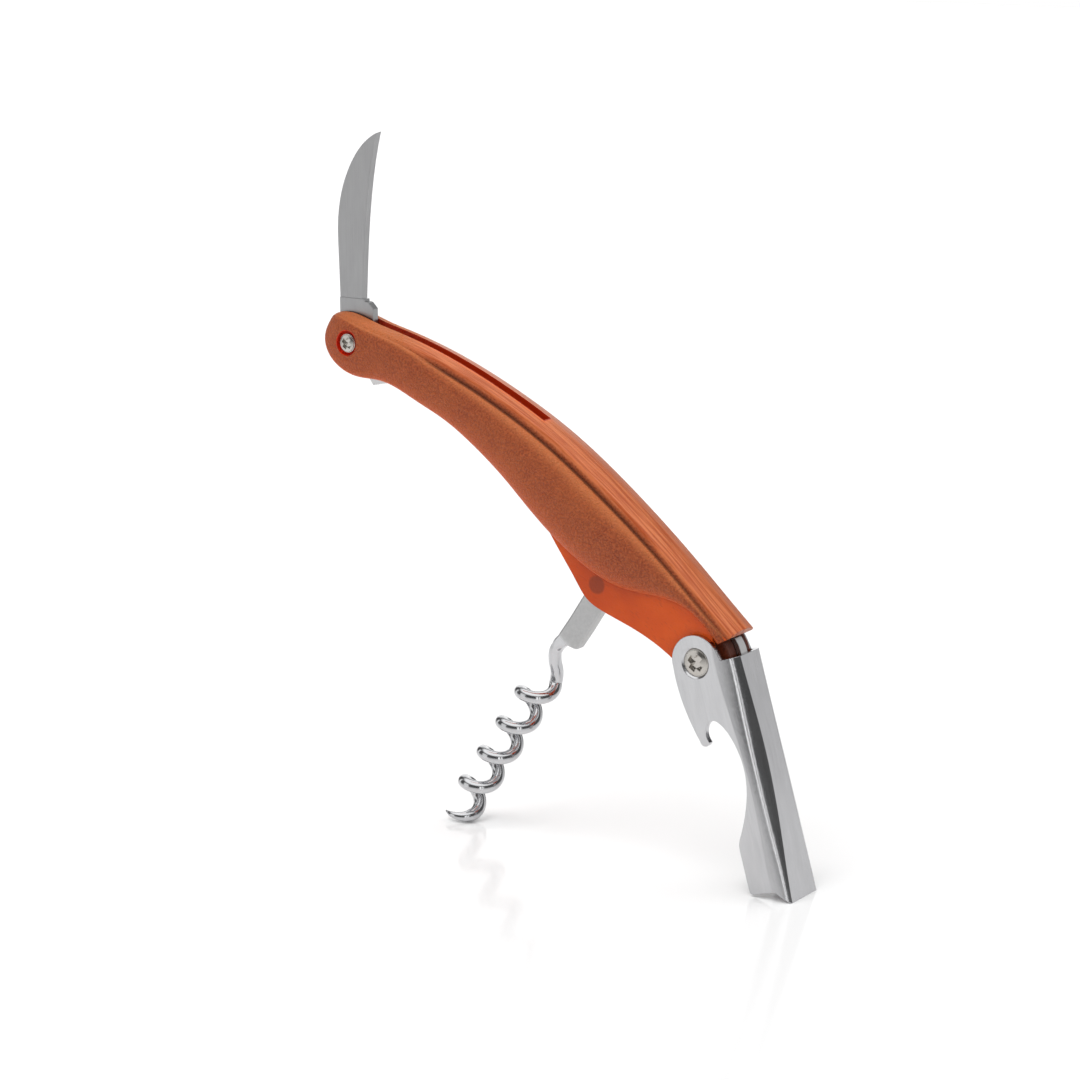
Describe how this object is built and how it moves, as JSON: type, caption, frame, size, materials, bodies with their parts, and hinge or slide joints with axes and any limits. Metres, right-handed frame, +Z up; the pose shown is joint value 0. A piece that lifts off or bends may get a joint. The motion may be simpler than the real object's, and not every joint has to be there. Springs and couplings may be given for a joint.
{
  "type": "lever corkscrew",
  "caption": "Folding waiter's corkscrew standing on its worm and lever: curved moulded handle, foil knife, helical worm and stamped lever with a bottle hook.",
  "frame": {"origin": "middle of the standing tool's box, on the floor plane", "axes": "+Z up, +Y across the tool's thickness and along all its hinges, +X from the knife end towards the lever end"},
  "size_m": [0.1254, 0.0166, 0.1542],
  "materials": {
    "handle": "fine sand-grained brown-red moulding with a smoother orange fin",
    "spring_steel": "blued-bright spring steel, lightly brushed",
    "pin_steel": "turned steel pins",
    "blade_steel": "stainless steel brushed along the blade",
    "washer": "thin bearing washers",
    "screw_steel": "polished steel heads",
    "worm_steel": "polished steel wire with a satin shank",
    "lever_steel": "polished stamped stainless steel"
  },
  "bodies": {
    "handle": {"handle_half_left": "handle", "handle_half_right": "handle", "backspring": "spring_steel", "spring_pins": "pin_steel", "knife_washers": "washer", "knife_pivot_screw": "screw_steel", "knife_pivot_nut": "screw_steel", "worm_pin": "pin_steel", "lever_pivot_screw": "screw_steel", "lever_pivot_nut": "screw_steel"},
    "knife": {"knife_blade": "blade_steel"},
    "worm": {"worm": "worm_steel"},
    "lever": {"lever": "lever_steel"}
  },
  "joints": [
    {"name": "knife_hinge", "type": "hinge", "parent": "handle", "child": "knife", "pos_m": [-0.05411, 0, 0.10736], "axis": [0, 1, 0], "range_deg": [-57, 109]},
    {"name": "worm_hinge", "type": "hinge", "parent": "handle", "child": "worm", "pos_m": [0.013, 0, 0.06155], "axis": [0, 1, 0], "range_deg": [-8, 84]},
    {"name": "lever_hinge", "type": "hinge", "parent": "handle", "child": "lever", "pos_m": [0.0389, 0, 0.04862], "axis": [0, 1, 0], "range_deg": [-18, 82]}
  ]
}
